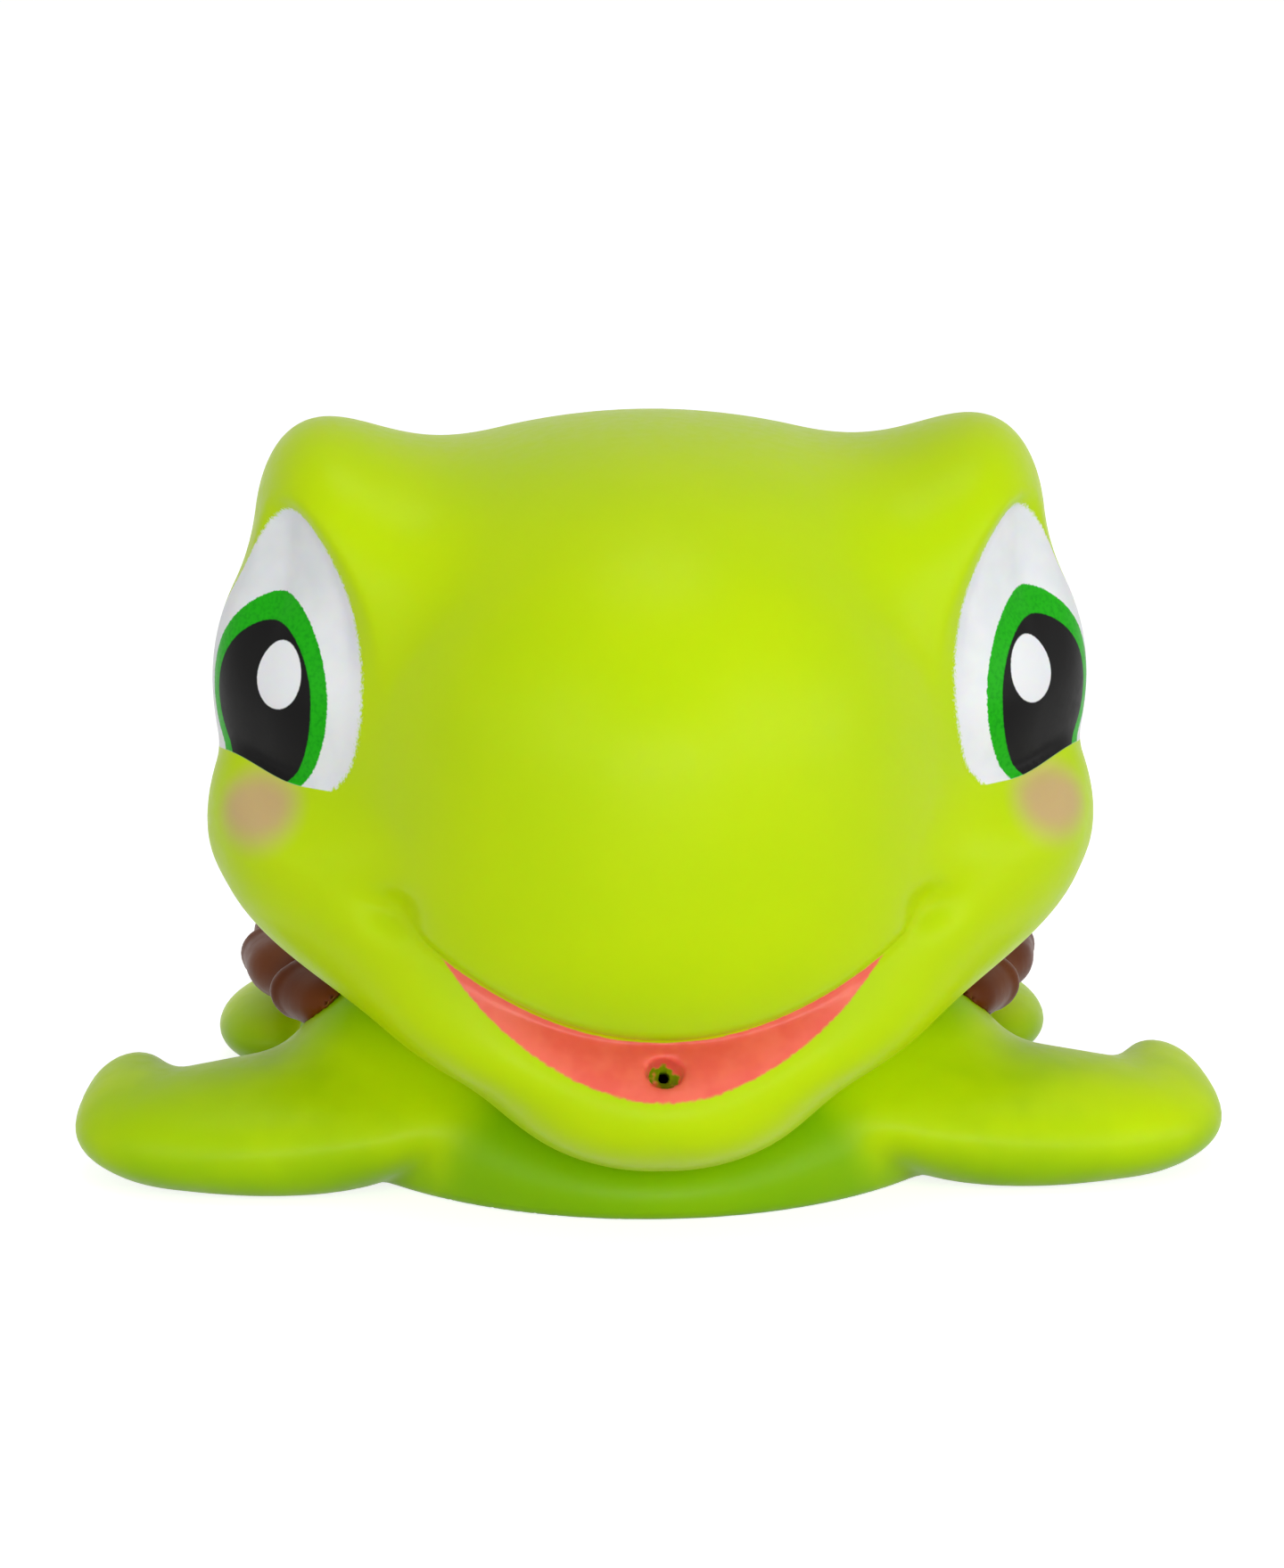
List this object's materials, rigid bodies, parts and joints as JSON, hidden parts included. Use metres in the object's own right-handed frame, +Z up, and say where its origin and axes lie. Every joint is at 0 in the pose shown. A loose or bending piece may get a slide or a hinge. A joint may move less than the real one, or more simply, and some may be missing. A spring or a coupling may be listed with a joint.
{
  "type": "squeaky bath toy",
  "caption": "Hollow soft vinyl sea turtle bath toy with a big turning head, a squirt hole in its mouth, a brown shell and a reed squeaker in its belly.",
  "frame": {"origin": "on the table under the middle of the toy's box", "axes": "+X to the toy's left, along its widest extent; -Y the way it looks; +Z up"},
  "size_m": [0.118, 0.1112, 0.0781],
  "materials": {
    "vinyl_green": "satin soft vinyl, with sprayed paint for the eyes, mouth and cheeks",
    "vinyl_brown": "satin soft vinyl",
    "squeaker_white": "moulded",
    "squeaker_grey": "moulded",
    "reed_film": "smooth film"
  },
  "bodies": {
    "toy": {"body_shell": "vinyl_green", "carapace": "vinyl_brown", "squeaker_housing": "squeaker_white", "squeaker_cap": "squeaker_white", "reed_block": "squeaker_grey", "reed_clamp": "squeaker_grey"},
    "head": {"head_shell": "vinyl_green"},
    "reed_leaf": {"reed": "reed_film"}
  },
  "joints": [
    {"name": "head_turn", "type": "hinge", "parent": "toy", "child": "head", "pos_m": [0, -0.008, 0.0242], "axis": [0, -0.5736, 0.8192], "range_deg": [-18, 18]},
    {"name": "reed_flex", "type": "hinge", "parent": "toy", "child": "reed_leaf", "pos_m": [0, 0.0034, 0.00415], "axis": [1, 0, 0], "range_deg": [-6, 0], "stiffness_Nm_per_rad": 0.007, "deforming": ["reed"]}
  ]
}
